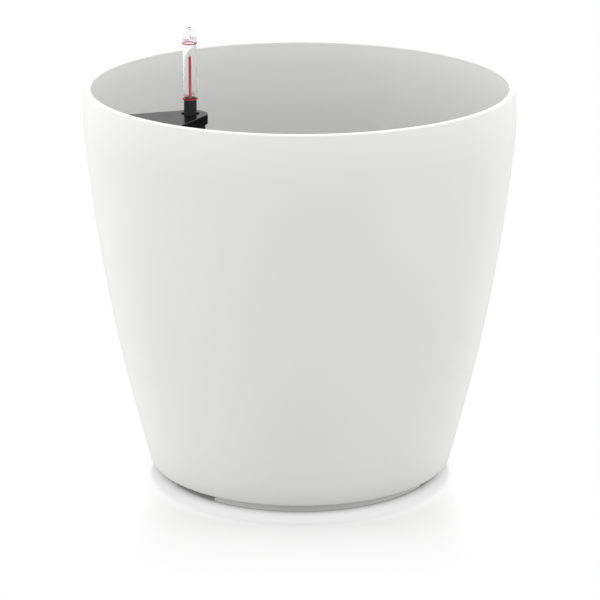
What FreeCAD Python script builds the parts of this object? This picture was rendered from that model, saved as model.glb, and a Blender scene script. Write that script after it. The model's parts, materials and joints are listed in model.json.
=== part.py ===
import FreeCAD, Part
import math
import os
import re
import Sketcher

# Round self-watering planter for indoor plants: a one-piece moulded pot, a perforated
# separator on four hollow wick legs that keeps the soil above a water reservoir, a
# wedge-shaped supply shaft against the wall, and a float gauge that stands in the
# shaft's rounded corner and shows the water level above the shaft's cap.
# Millimetres and degrees. The origin is on the floor under the pot's middle, +Z is up
# and -Y is the front. Every body is drawn with the shaft along its own +X.

SIZES = {
    # pot: two tangent arcs outside, the same arcs less the wall inside
    "pot_height": 324,
    "widest_radius": 175,
    "shoulder_drop": 26,        # from the rim down to the widest place
    "shoulder_arc": 170,
    "shoulder_turn": 4.9,       # flank's lean from vertical where the two arcs meet
    "flank_arc": 1546,
    "wall": 4.5,
    "floor_thick": 4,
    "rim_round": 1.5,
    "edge_round": 2,
    "floor_corner": 2.5,
    # foot ring under the pot, open at the notches so that drained water runs off
    "foot_height": 7.5,
    "foot_inset": 9.7,          # from the pot's lower edge in to the foot ring
    "foot_thick": 3,
    "notch_width": 50,
    "notch_count": 3,
    # drain boss in the middle of the floor and the screw plug in it
    "boss_radius": 14,
    "boss_rise": 6,
    "thread_radius": 9,
    "thread_depth": 1,
    "thread_pitch": 3,
    "thread_root": 1.9,         # width of the thread at its root, along the axis
    "thread_play": 0.25,
    "plug_head_radius": 15,
    "plug_head_thick": 4,
    "plug_bore": 5,
    "plug_round": 1,
    "grip_length": 22,
    "grip_width": 5,
    "grip_depth": 2.6,
    "seal_thick": 1.5,
    "seal_radius": 14.2,
    # separator tray
    "plate_level": 81,          # underside of the plate above the floor
    "plate_thick": 3,
    "plate_gap": 1,             # to the pot's wall
    "tray_lip": 12,
    "tray_wall": 2.5,
    "rib_depth": 6,
    "rib_thick": 2,
    "rib_count": 12,
    "rib_end_gap": 6,           # from the rib's end to the plate's edge
    "hub_radius": 16,
    "vent_radius": 2.2,
    "inner_vent_gap": 19,       # from the hub out to the first ring of vents
    "inner_vent_count": 12,
    "middle_vent_gap": 40.8,     # from the plate's edge in to each outer ring
    "middle_vent_count": 36,
    "outer_vent_gap": 19.8,
    "outer_vent_count": 48,
    # hollow wick legs
    "leg_shaft_gap": 8.1,       # between a leg's flange and the shaft's
    "leg_count": 4,
    "leg_radius": 21,
    "leg_foot_radius": 15,
    "leg_wall": 2,
    "leg_flange": 3,
    "leg_flange_thick": 2,
    "leg_slot": 3,
    "leg_slot_count": 8,
    "leg_slot_margin": 12,      # solid wall above and below the slots
    # supply shaft
    "shaft_azimuth": -139.2,
    "shaft_half_angle": 21.7,
    "shaft_wall": 1,
    "shaft_corner_room": 3.7,   # between the gauge's cage and the shaft's corner
    "shaft_gap": 1,             # to the pot's wall
    "shaft_skirt": 20,          # how far the shaft reaches below the plate
    "shaft_flange": 3.4,
    "shaft_flange_thick": 2,
    "bridge_thick": 2,
    "bridge_reach": 12,
    "fit_gap": 0.4,             # slip fits between mouldings
    # shaft cap
    "cap_drop": 7,              # cap's top below the rim
    "cap_thick": 2,
    "cap_skirt": 7.6,
    "cap_overhang": 1.9,
    "cap_round": 0.7,
    "cap_hole_play": 0.25,
    # float gauge
    "gauge_wall_gap": 1.54,     # from the cage's foot to the pot's wall at the floor
    "gauge_tube_radius": 5.05,
    "gauge_tube_bore": 3,
    "collar_rise": 11,          # black tube above the cap
    "spigot_length": 1.6,
    "spigot_radius": 4.75,
    "press_gap": 0.03,
    "sight_radius": 5.8,
    "sight_top_radius": 5.4,    # the tube narrows by its moulding draft
    "sight_wall": 1,
    "sight_height": 57.5,
    "vent_hole": 0.9,
    "mark_thick": 0.25,
    "mark_height": 0.8,
    "mark_spacing": 43.7,
    "low_mark_rise": 1.25,
    "cage_radius": 7,
    "cage_wall": 1.1,
    "cage_length": 100,
    "cage_slot": 2.4,
    "cage_slot_count": 4,
    "cage_slot_margin": 9,
    "cage_foot_gap": 0.3,
    "end_cap_thick": 2,
    "end_spigot": 3,
    "tube_foot": 6,
    "float_radius": 5.5,
    "float_length": 38,
    "clip_radius": 3.6,
    "clip_thick": 1.2,
    "rod_radius": 1.05,
    "rod_play": 0.1,
    "rod_tail": 1.2,
    "stop_gap": 0.6,            # left below the rod when the tip stands at the low mark
    "pin_radius": 0.6,
    "pin_length": 8,
    "tip_length": 62,
    "tip_rise": 33.6,           # red tip's end above the low mark as stored
    "bush_length": 8,
}

doc = FreeCAD.newDocument("self_watering_planter")
sheet = doc.addObject("Spreadsheet::Sheet", "sheet")
for row, (alias, value) in enumerate(SIZES.items(), start=1):
    sheet.set(f"A{row}", alias)
    sheet.set(f"B{row}", str(value))
    sheet.setAlias(f"B{row}", alias)
doc.recompute()

NODES = []


def named(text):
    """Expression with every size name turned into its sheet cell."""
    return re.sub(r"[a-z_]+", lambda word: "sheet." + word[0] if word[0] in SIZES else word[0], text)


def number(text):
    return float(sheet.evalExpression(named(text)))


# Places that several pieces share, as expressions of the sizes.
FLANK_X = "(widest_radius - shoulder_arc - (flank_arc - shoulder_arc) * cos(shoulder_turn))"
FLANK_Z = "(pot_height - shoulder_drop + (flank_arc - shoulder_arc) * sin(shoulder_turn))"
SHOULDER_X = "(widest_radius - shoulder_arc)"
SHOULDER_Z = "(pot_height - shoulder_drop)"
FLOOR_TOP = "(foot_height + floor_thick)"
BOSS_TOP = "(foot_height + floor_thick + boss_rise)"
PLATE_TOP = "(plate_level + plate_thick)"
CAP_TOP = "(pot_height - cap_drop)"
SHAFT_TOP = "(pot_height - cap_drop - cap_thick)"
SHAFT_BOTTOM = "(plate_level - shaft_skirt)"
COLLAR_TOP = "(pot_height - cap_drop + collar_rise)"
DOME_LEVEL = "(pot_height - cap_drop + collar_rise + sight_height - sight_top_radius)"
LOW_MARK = "(pot_height - cap_drop + collar_rise + low_mark_rise)"
CAGE_BOTTOM = "(foot_height + floor_thick + cage_foot_gap)"
CAGE_TOP = "(foot_height + floor_thick + cage_foot_gap + cage_length)"
CAGE_BORE = "(cage_radius - cage_wall)"
CAP_CORNER = "(cage_radius + shaft_corner_room + shaft_wall + cap_overhang)"
RIM_BORE = "(widest_radius - shoulder_arc + sqrt((shoulder_arc - wall)^2 - shoulder_drop^2))"
SHAFT_BACK = f"({RIM_BORE} - shaft_gap - cap_overhang)"


def flank(level, inset="0"):
    """Radius of the pot's flank at a level, set in by a distance square to the surface."""
    return f"({FLANK_X} + sqrt((flank_arc - ({inset}))^2 - (({level}) - {FLANK_Z})^2))"


FOOT_RADIUS = f"({flank('foot_height')} - foot_inset)"
PLATE_RADIUS = flank("plate_level", "wall + plate_gap")
GAUGE_CIRCLE = f"({flank(FLOOR_TOP, 'wall')} - gauge_wall_gap - cage_radius)"
LEG_REACH = "(leg_radius + leg_flange + leg_shaft_gap)"
LEG_CIRCLE = f"({GAUGE_CIRCLE} - ({CAP_CORNER} - cap_overhang + shaft_flange) - {LEG_REACH})"


def new_body(label):
    body = doc.addObject("PartDesign::Body", label)
    body.Label = label
    NODES.append(body)
    return body


def origin_part(body, role):
    return [item for item in body.Origin.OriginFeatures if item.Role == role][0]


def new_sketch(body, name, plane, level):
    sketch = body.newObject("Sketcher::SketchObject", f"{body.Label}_{name}")
    sketch.AttachmentSupport = [(origin_part(body, plane), "")]
    sketch.MapMode = "FlatFace"
    sketch.setExpression("AttachmentOffset.Base.z", named(level))
    return sketch


def fix_point(sketch, piece, end, corner):
    """Hold one end of a sketch piece at a corner given by two expressions."""
    for kind, text in zip(("DistanceX", "DistanceY"), corner):
        index = sketch.addConstraint(Sketcher.Constraint(kind, -1, 1, piece, end, number(text)))
        sketch.setExpression(f"Constraints[{index}]", named(text))


def outline(body, name, corners, plane="XZ_Plane", level="0"):
    """Closed outline through corners (x, y) or (x, y, radius, side).

    The longer form starts an arc to the next corner; its centre lies to the left of
    the way from one to the other where side is 1, and to the right where it is -1.
    """
    sketch = new_sketch(body, name, plane, level)
    points = [FreeCAD.Vector(number(corner[0]), number(corner[1]), 0) for corner in corners]
    ends = []
    for index, corner in enumerate(corners):
        start, stop = points[index], points[(index + 1) % len(points)]
        if len(corner) == 2:
            piece = sketch.addGeometry(Part.LineSegment(start, stop))
            ends.append((piece, 1, 2))
            continue
        radius, side = number(corner[2]), corner[3]
        chord = stop - start
        left = FreeCAD.Vector(-chord.y, chord.x, 0).normalize()
        reach = math.sqrt(max(radius ** 2 - (chord.Length / 2) ** 2, 0))
        middle = (start + stop) / 2 + left * side * (reach - radius)
        piece = sketch.addGeometry(Part.Arc(start, middle, stop))
        ends.append((piece, 1, 2) if side > 0 else (piece, 2, 1))
        index = sketch.addConstraint(Sketcher.Constraint("Radius", piece, radius))
        sketch.setExpression(f"Constraints[{index}]", named(corner[2]))
    for index, (piece, first, last) in enumerate(ends):
        following = ends[(index + 1) % len(ends)]
        sketch.addConstraint(Sketcher.Constraint("Coincident", piece, last, following[0], following[1]))
        fix_point(sketch, piece, first, corners[index][:2])
    return sketch


def circles(body, name, rings, level="0"):
    """Circles (x, y, radius) in one flat sketch."""
    sketch = new_sketch(body, name, "XY_Plane", level)
    for x_text, y_text, radius in rings:
        centre = FreeCAD.Vector(number(x_text), number(y_text), 0)
        piece = sketch.addGeometry(Part.Circle(centre, FreeCAD.Vector(0, 0, 1), number(radius)))
        fix_point(sketch, piece, 3, (x_text, y_text))
        index = sketch.addConstraint(Sketcher.Constraint("Radius", piece, number(radius)))
        sketch.setExpression(f"Constraints[{index}]", named(radius))
    return sketch


def box_outline(body, name, low_x, high_x, half_width, level="0"):
    """Rectangle that lies across the body's +X."""
    low_y = f"-({half_width})"
    corners = [(low_x, low_y), (high_x, low_y), (high_x, half_width), (low_x, half_width)]
    return outline(body, name, corners, "XY_Plane", level)


def wedge_outline(body, name, corner_radius, level):
    """Shaft's plan: a round corner about the gauge's axis and two straight sides."""
    tangent_x = f"({GAUGE_CIRCLE} - ({corner_radius}) * sin(shaft_half_angle))"
    tangent_y = f"(({corner_radius}) * cos(shaft_half_angle))"
    far_x = "(widest_radius + wall)"
    far_y = f"({tangent_y} + ({far_x} - {tangent_x}) * tan(shaft_half_angle))"
    corners = [
        (tangent_x, f"-{tangent_y}"),
        (far_x, f"-{far_y}"),
        (far_x, far_y),
        (tangent_x, tangent_y, corner_radius, 1),
    ]
    return outline(body, name, corners, "XY_Plane", level)


def shape(body, kind, name, sketch, **values):
    """PartDesign feature from a sketch; text values are bound to the sheet."""
    feature = body.newObject(f"PartDesign::{kind}", f"{body.Label}_{name}")
    feature.Profile = sketch
    for key, value in values.items():
        if isinstance(value, str):
            feature.setExpression(key, named(value))
        else:
            setattr(feature, key, value)
    if kind in ("Revolution", "Groove"):
        feature.ReferenceAxis = (sketch, ["V_Axis"])
        feature.Angle = 360
    doc.recompute()
    return feature


def helix(body, kind, name, sketch, height):
    feature = shape(body, kind, name, sketch)
    feature.ReferenceAxis = (sketch, ["V_Axis"])
    feature.Mode = 0
    feature.setExpression("Pitch", named("thread_pitch"))
    feature.setExpression("Height", named(height))
    doc.recompute()
    return feature


def around(body, name, feature, count):
    """Repeat a feature round the body's axis."""
    pattern = body.newObject("PartDesign::PolarPattern", f"{body.Label}_{name}")
    pattern.Originals = [feature]
    pattern.Axis = (origin_part(body, "Z_Axis"), [""])
    pattern.Angle = 360
    pattern.setExpression("Occurrences", named(count))
    body.Tip = pattern
    doc.recompute()
    return pattern


def dress(body, kind, name, base, chosen, size):
    """Fillet or chamfer on the edges that chosen(edge) accepts."""
    names = [f"Edge{index}" for index, edge in enumerate(base.Shape.Edges, start=1) if chosen(edge)]
    feature = body.newObject(f"PartDesign::{kind}", f"{body.Label}_{name}")
    feature.Base = (base, names)
    feature.setExpression("Radius" if kind == "Fillet" else "Size", named(size))
    doc.recompute()
    return feature


def ring_edge(radius, level):
    """Test for the round edge about the body's axis with this radius and level."""
    wanted_radius, wanted_level = number(radius), number(level)

    def test(edge):
        if not isinstance(edge.Curve, Part.Circle):
            return False
        centre = edge.Curve.Center
        near = abs(edge.Curve.Radius - wanted_radius) < 0.01 and abs(centre.z - wanted_level) < 0.01
        return near and math.hypot(centre.x, centre.y) < 0.01

    return test


def place(piece, radius="0", turn="0"):
    """Stand a piece on the shaft's line, or turned from it, at a radius from the pot's axis."""
    direction = f"(shaft_azimuth + ({turn}))"
    piece.setExpression("Placement.Base.x", named(f"({radius}) * cos{direction}"))
    piece.setExpression("Placement.Base.y", named(f"({radius}) * sin{direction}"))
    piece.setExpression("Placement.Rotation.Angle", named(direction))


def thread_tooth(body, level, play):
    """Trapezoid that sweeps into the plug's thread, or into its groove with some play."""
    root = "(thread_radius - 1.1 * thread_depth)"
    crest = f"(thread_radius + {play})"
    half_root = f"(thread_root / 2 + {play})"
    half_crest = f"(thread_root / 4 + {play})"
    corners = [
        (root, f"{level} - {half_root}"),
        (crest, f"{level} - {half_crest}"),
        (crest, f"{level} + {half_crest}"),
        (root, f"{level} + {half_root}"),
    ]
    return outline(body, "tooth", corners)


# ---- pot -----------------------------------------------------------------------------
THREAD_START = "(foot_height + thread_pitch)"


def make_planter_shell():
    body = new_body("planter_shell")
    bore = "(thread_radius - thread_depth + thread_play)"
    foot_bore = f"({FOOT_RADIUS} - foot_thick)"
    inner_arc = "(shoulder_arc - wall)"
    outer_joint, inner_joint = [
        (f"{SHOULDER_X} + {arc} * cos(shoulder_turn)", f"{SHOULDER_Z} - {arc} * sin(shoulder_turn)")
        for arc in ("shoulder_arc", inner_arc)
    ]
    rim_radius = f"({SHOULDER_X} + sqrt(shoulder_arc^2 - shoulder_drop^2))"
    profile = outline(body, "profile", [
        (bore, "foot_height"),
        (foot_bore, "foot_height"),
        (foot_bore, "0"),
        (FOOT_RADIUS, "0"),
        (FOOT_RADIUS, "foot_height"),
        (flank("foot_height"), "foot_height", "flank_arc", 1),
        (*outer_joint, "shoulder_arc", 1),
        (rim_radius, "pot_height"),
        (RIM_BORE, "pot_height", inner_arc, -1),
        (*inner_joint, "flank_arc - wall", -1),
        (flank(FLOOR_TOP, "wall"), FLOOR_TOP),
        ("boss_radius", FLOOR_TOP),
        ("boss_radius", BOSS_TOP),
        (bore, BOSS_TOP),
    ])
    shell = shape(body, "Revolution", "turned", profile)
    rim = dress(body, "Fillet", "rim", shell, ring_edge(RIM_BORE, "pot_height"), "rim_round")
    rim = dress(body, "Fillet", "rim_outside", rim, ring_edge(rim_radius, "pot_height"), "rim_round")
    lower_edge = ring_edge(flank("foot_height"), "foot_height")
    edge = dress(body, "Fillet", "lower_edge", rim, lower_edge, "edge_round")
    corner = ring_edge(flank(FLOOR_TOP, "wall"), FLOOR_TOP)
    dress(body, "Fillet", "floor_corner", edge, corner, "floor_corner")
    notch_start, notch_end = f"{foot_bore} - foot_thick", f"{FOOT_RADIUS} + foot_thick"
    notch = box_outline(body, "notch", notch_start, notch_end, "notch_width / 2")
    cut = shape(body, "Pocket", "notch_cut", notch, Length="foot_height", Reversed=True)
    around(body, "notches", cut, "notch_count")
    tooth = thread_tooth(body, f"({THREAD_START} - 2 * thread_pitch)", "thread_play")
    helix(body, "SubtractiveHelix", "thread", tooth, "floor_thick + boss_rise + 4 * thread_pitch")
    place(body)


# ---- drain plug ----------------------------------------------------------------------
def make_drain_plug():
    body = new_body("drain_plug")
    head_top = "(foot_height - seal_thick)"
    core = "(thread_radius - thread_depth)"
    profile = outline(body, "profile", [
        ("0", f"{head_top} - plug_head_thick"),
        ("plug_head_radius", f"{head_top} - plug_head_thick"),
        ("plug_head_radius", head_top),
        (core, head_top),
        (core, BOSS_TOP),
        ("plug_bore", BOSS_TOP),
        ("plug_bore", head_top),
        ("0", head_top),
    ])
    turned = shape(body, "Revolution", "turned", profile)
    rim = ring_edge("plug_head_radius", f"{head_top} - plug_head_thick")
    dress(body, "Fillet", "head_edge", turned, rim, "plug_round")
    tooth = thread_tooth(body, THREAD_START, "0")
    helix(body, "AdditiveHelix", "thread", tooth, "floor_thick + boss_rise - 1.6 * thread_pitch")
    grip = box_outline(body, "grip", "-(grip_length / 2)", "grip_length / 2", "grip_width / 2",
                       f"{head_top} - plug_head_thick")
    shape(body, "Pocket", "grip_slot", grip, Length="grip_depth", Reversed=True)
    place(body)


def make_drain_plug_seal():
    body = new_body("drain_plug_seal")
    top = "foot_height"
    bore = "(thread_radius + fit_gap)"
    profile = outline(body, "profile", [
        (bore, f"{top} - seal_thick"),
        ("seal_radius", f"{top} - seal_thick"),
        ("seal_radius", top),
        (bore, top),
    ])
    shape(body, "Revolution", "turned", profile)
    place(body)


# ---- separator -----------------------------------------------------------------------
def make_separator_plate():
    body = new_body("separator_plate")
    lip_top = f"({PLATE_TOP} + tray_lip)"
    edge = "(wall + plate_gap)"
    inner = "(wall + plate_gap + tray_wall)"
    profile = outline(body, "profile", [
        ("0", "plate_level"),
        (PLATE_RADIUS, "plate_level", f"flank_arc - {edge}", 1),
        (flank(lip_top, edge), lip_top),
        (flank(lip_top, inner), lip_top, f"flank_arc - {inner}", -1),
        (flank(PLATE_TOP, inner), PLATE_TOP),
        ("0", PLATE_TOP),
    ])
    shape(body, "Revolution", "turned", profile)
    hub = circles(body, "hub", [("0", "0", "hub_radius")], "plate_level - rib_depth")
    shape(body, "Pad", "hub_pad", hub, Length="rib_depth")
    rib_end = f"{PLATE_RADIUS} - rib_end_gap"
    rib_start = "hub_radius - rib_thick"
    rib = box_outline(body, "rib", rib_start, rib_end, "rib_thick / 2", "plate_level - rib_depth")
    rib_pad = shape(body, "Pad", "rib_pad", rib, Length="rib_depth")
    around(body, "ribs", rib_pad, "rib_count")
    seat = circles(body, "leg_seat", [(LEG_CIRCLE, "0", "leg_radius + fit_gap")], PLATE_TOP)
    seat_cut = shape(body, "Pocket", "leg_seat_cut", seat, Length="plate_thick + rib_depth + 1")
    around(body, "leg_seats", seat_cut, "leg_count")
    wedge = wedge_outline(body, "shaft_opening", f"{CAP_CORNER} - cap_overhang + fit_gap", lip_top)
    shape(body, "Pocket", "shaft_cut", wedge, Length="tray_lip + plate_thick + rib_depth + 1")
    circles_of_vents = {
        "inner": "(hub_radius + inner_vent_gap)",
        "middle": f"({PLATE_RADIUS} - middle_vent_gap)",
        "outer": f"({PLATE_RADIUS} - outer_vent_gap)",
    }
    for ring, circle in circles_of_vents.items():
        count = f"{ring}_vent_count"
        centre = (f"{circle} * cos(180 / {count})", f"{circle} * sin(180 / {count})", "vent_radius")
        vent = circles(body, f"{ring}_vent", [centre], PLATE_TOP)
        vent_cut = shape(body, "Pocket", f"{ring}_vent_cut", vent, Length="plate_thick + rib_depth + 1")
        around(body, f"{ring}_vents", vent_cut, count)
    place(body)


def make_wick_legs():
    """Hollow slotted cups that hang in the plate and stand on the pot's floor."""
    for leg in range(SIZES["leg_count"]):
        body = new_body(f"wick_leg_{leg + 1}")
        foot = f"({FLOOR_TOP} + cage_foot_gap)"
        flange_top = f"({PLATE_TOP} + leg_flange_thick)"
        profile = outline(body, "profile", [
            ("0", foot),
            ("leg_foot_radius", foot),
            ("leg_radius", "plate_level - rib_depth"),
            ("leg_radius", PLATE_TOP),
            ("leg_radius + leg_flange", PLATE_TOP),
            ("leg_radius + leg_flange", flange_top),
            ("leg_radius - leg_wall", flange_top),
            ("leg_radius - leg_wall", "plate_level - rib_depth"),
            ("leg_foot_radius - leg_wall", f"{foot} + leg_wall"),
            ("0", f"{foot} + leg_wall"),
        ])
        shape(body, "Revolution", "turned", profile)
        slot_start, slot_end = "leg_foot_radius - 3 * leg_wall", "leg_radius + leg_wall"
        slot = box_outline(body, "slot", slot_start, slot_end, "leg_slot / 2", f"{foot} + leg_slot_margin")
        slot_length = f"plate_level - rib_depth - {foot} - 2 * leg_slot_margin"
        slot_cut = shape(body, "Pocket", "slot_cut", slot, Reversed=True, Length=slot_length)
        around(body, "slots", slot_cut, "leg_slot_count")
        place(body, LEG_CIRCLE, f"360 / leg_count * {leg}")


# ---- supply shaft and its cap --------------------------------------------------------
def back_region(body, name, inset, limit, low, high):
    """Everything behind the shaft's back: a band that follows the pot's wall, then stands straight."""
    turn_level = f"({FLANK_Z} - sqrt((flank_arc - ({inset}))^2 - ({limit} - {FLANK_X})^2))"
    far = "(widest_radius * 1.3)"
    return outline(body, name, [
        (far, low),
        (far, high),
        (limit, high),
        (limit, turn_level, f"flank_arc - ({inset})", -1),
        (flank(low, inset), low),
    ])


def make_supply_shaft():
    tube = doc.addObject("PartDesign::Body", "shaft_solid")
    corner = f"({CAP_CORNER} - cap_overhang)"
    ledge = wedge_outline(tube, "ledge", f"{corner} + shaft_flange", PLATE_TOP)
    shape(tube, "Pad", "ledge_pad", ledge, Length="shaft_flange_thick")
    lip_clear = flank(PLATE_TOP, "wall + plate_gap + tray_wall + fit_gap")
    ledge_end = outline(tube, "ledge_end", [
        (lip_clear, f"{PLATE_TOP} - shaft_flange_thick"),
        ("widest_radius * 1.3", f"{PLATE_TOP} - shaft_flange_thick"),
        ("widest_radius * 1.3", f"{PLATE_TOP} + 2 * shaft_flange_thick"),
        (lip_clear, f"{PLATE_TOP} + 2 * shaft_flange_thick"),
    ])
    shape(tube, "Groove", "ledge_cut", ledge_end)
    plan = wedge_outline(tube, "plan", corner, SHAFT_BOTTOM)
    shape(tube, "Pad", "pad", plan, Length=f"{SHAFT_TOP} - {SHAFT_BOTTOM}")
    low, high = f"{SHAFT_BOTTOM} - 2", f"{SHAFT_TOP} + 2"
    back = back_region(tube, "back", "wall + shaft_gap", SHAFT_BACK, low, high)
    shape(tube, "Groove", "back_cut", back)

    hollow = doc.addObject("PartDesign::Body", "shaft_hollow")
    plan = wedge_outline(hollow, "plan", f"{corner} - shaft_wall", f"{SHAFT_BOTTOM} - 1")
    shape(hollow, "Pad", "pad", plan, Length=f"{SHAFT_TOP} - {SHAFT_BOTTOM} + 2")
    inset, limit = "wall + shaft_gap + shaft_wall", f"({SHAFT_BACK} - shaft_wall)"
    back = back_region(hollow, "back", inset, limit, low, high)
    shape(hollow, "Groove", "back_cut", back)

    tube_shell = doc.addObject("Part::Cut", "shaft_tube")
    tube_shell.Base = tube
    tube_shell.Tool = hollow

    # a moulded bridge near the foot keeps the gauge upright in its corner
    bridge = doc.addObject("PartDesign::Body", "shaft_bridge")
    plan = wedge_outline(bridge, "plan", corner, SHAFT_BOTTOM)
    shape(bridge, "Pad", "pad", plan, Length="bridge_thick")
    clear_start, clear_end = f"{GAUGE_CIRCLE} + bridge_reach", "widest_radius + 2 * wall"
    bridge_top = f"({SHAFT_BOTTOM} + bridge_thick)"
    clear = box_outline(bridge, "clear", clear_start, clear_end, "widest_radius", bridge_top)
    shape(bridge, "Pocket", "clear_cut", clear, Length="bridge_thick")
    ring = (GAUGE_CIRCLE, "0", "cage_radius + cap_hole_play")
    hole = circles(bridge, "hole", [ring], bridge_top)
    shape(bridge, "Pocket", "hole_cut", hole, Length="bridge_thick")

    shaft = doc.addObject("Part::Fuse", "supply_shaft")
    shaft.Base = tube_shell
    shaft.Tool = bridge
    shaft.Label = "supply_shaft"
    NODES.append(shaft)
    place(shaft)


def make_shaft_cap():
    outer = doc.addObject("PartDesign::Body", "cap_solid")
    plan = wedge_outline(outer, "plan", CAP_CORNER, f"{CAP_TOP} - cap_skirt")
    shape(outer, "Pad", "pad", plan, Length="cap_skirt")
    low, high = f"{CAP_TOP} - 2 * cap_skirt", f"{CAP_TOP} + cap_skirt"
    back = back_region(outer, "back", "wall", f"({RIM_BORE} - shaft_gap / 2)", low, high)
    cut = shape(outer, "Groove", "back_cut", back)
    top = number(CAP_TOP)

    def on_top(edge):
        return all(abs(vertex.Point.z - top) < 0.01 for vertex in edge.Vertexes)

    dress(outer, "Fillet", "top_edge", cut, on_top, "cap_round")
    ring = (GAUGE_CIRCLE, "0", "cage_radius + cap_hole_play")
    hole = circles(outer, "hole", [ring], f"{CAP_TOP} + 1")
    shape(outer, "Pocket", "hole_cut", hole, Length="2 * cap_skirt")

    hollow = doc.addObject("PartDesign::Body", "cap_hollow")
    skirt_bottom = f"({CAP_TOP} - cap_skirt)"
    plan = wedge_outline(hollow, "plan", f"{CAP_CORNER} - cap_overhang + fit_gap", f"{skirt_bottom} - 1")
    shape(hollow, "Pad", "pad", plan, Length="cap_skirt + 1 - cap_thick")
    back = back_region(hollow, "back", "wall", f"({SHAFT_BACK} + fit_gap)", low, high)
    shape(hollow, "Groove", "back_cut", back)

    cap = doc.addObject("Part::Cut", "shaft_cap")
    cap.Base = outer
    cap.Tool = hollow
    cap.Label = "shaft_cap"
    NODES.append(cap)
    place(cap)


# ---- float gauge ---------------------------------------------------------------------
FLOAT_BOTTOM = f"({CAGE_BOTTOM} + end_cap_thick + end_spigot + tip_rise + clip_thick + rod_tail + stop_gap)"
FLOAT_TOP = f"({FLOAT_BOTTOM} + float_length)"
TIP_TOP = f"({LOW_MARK} + tip_rise)"


def turned_piece(label, corners, radius=GAUGE_CIRCLE):
    """Piece turned about the gauge's axis."""
    body = new_body(label)
    profile = outline(body, "profile", corners)
    shape(body, "Revolution", "turned", profile)
    place(body, radius)
    return body


def make_gauge_tube():
    spigot_top = f"({COLLAR_TOP} + spigot_length)"
    foot_radius = f"({CAGE_BORE} - press_gap)"
    guide = "(rod_radius + rod_play)"
    turned_piece("gauge_tube", [
        (guide, f"{CAGE_TOP} - tube_foot"),
        (foot_radius, f"{CAGE_TOP} - tube_foot"),
        (foot_radius, CAGE_TOP),
        ("cage_radius", CAGE_TOP),
        ("cage_radius", f"{CAGE_TOP} + end_cap_thick"),
        ("gauge_tube_radius", f"{CAGE_TOP} + end_cap_thick"),
        ("gauge_tube_radius", COLLAR_TOP),
        ("spigot_radius", COLLAR_TOP),
        ("spigot_radius", spigot_top),
        ("gauge_tube_bore", spigot_top),
        ("gauge_tube_bore", CAGE_TOP),
        (guide, CAGE_TOP),
    ])


def make_rod_guide_bush():
    top = f"({COLLAR_TOP} + spigot_length)"
    turned_piece("rod_guide_bush", [
        ("rod_radius + rod_play", f"{top} - bush_length"),
        ("gauge_tube_bore - press_gap", f"{top} - bush_length"),
        ("gauge_tube_bore - press_gap", top),
        ("rod_radius + rod_play", top),
    ])


def make_sight_tube():
    top = "sight_top_radius"
    inner_top = "(sight_top_radius - sight_wall)"
    turned_piece("sight_tube", [
        ("sight_radius - sight_wall", COLLAR_TOP),
        ("sight_radius", COLLAR_TOP),
        (top, DOME_LEVEL, top, 1),
        ("vent_hole", f"{DOME_LEVEL} + sqrt({top}^2 - vent_hole^2)"),
        ("vent_hole", f"{DOME_LEVEL} + sqrt({inner_top}^2 - vent_hole^2)", inner_top, -1),
        (inner_top, DOME_LEVEL),
    ])


def sight_outside(level):
    """Radius of the sight tube's straight flank at a level."""
    share = f"({level} - {COLLAR_TOP}) / ({DOME_LEVEL} - {COLLAR_TOP})"
    return f"(sight_radius - (sight_radius - sight_top_radius) * {share})"


def make_mark_rings():
    for label, rise in (("low_mark_ring", "0"), ("full_mark_ring", "mark_spacing")):
        bottom = f"({LOW_MARK} + {rise} - mark_height / 2)"
        top = f"({bottom} + mark_height)"
        turned_piece(label, [
            (sight_outside(bottom), bottom),
            (f"{sight_outside(bottom)} + mark_thick", bottom),
            (f"{sight_outside(top)} + mark_thick", top),
            (sight_outside(top), top),
        ])


def make_float_cage():
    body = new_body("float_cage")
    bottom = f"({CAGE_BOTTOM} + end_cap_thick)"
    profile = outline(body, "profile", [
        (CAGE_BORE, bottom),
        ("cage_radius", bottom),
        ("cage_radius", CAGE_TOP),
        (CAGE_BORE, CAGE_TOP),
    ])
    shape(body, "Revolution", "turned", profile)
    slot_start = f"{bottom} + cage_slot_margin"
    slot = box_outline(body, "slot", f"{CAGE_BORE} - 1", "cage_radius + 1", "cage_slot / 2", slot_start)
    slot_length = "cage_length - end_cap_thick - tube_foot - 2 * cage_slot_margin"
    slot_cut = shape(body, "Pocket", "slot_cut", slot, Reversed=True, Length=slot_length)
    around(body, "slots", slot_cut, "cage_slot_count")
    place(body, GAUGE_CIRCLE)


def make_cage_end_cap():
    shoulder = f"({CAGE_BOTTOM} + end_cap_thick)"
    turned_piece("cage_end_cap", [
        ("rod_radius", CAGE_BOTTOM),
        ("cage_radius", CAGE_BOTTOM),
        ("cage_radius", shoulder),
        (f"{CAGE_BORE} - press_gap", shoulder),
        (f"{CAGE_BORE} - press_gap", f"{shoulder} + end_spigot"),
        ("rod_radius", f"{shoulder} + end_spigot"),
    ])


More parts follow.
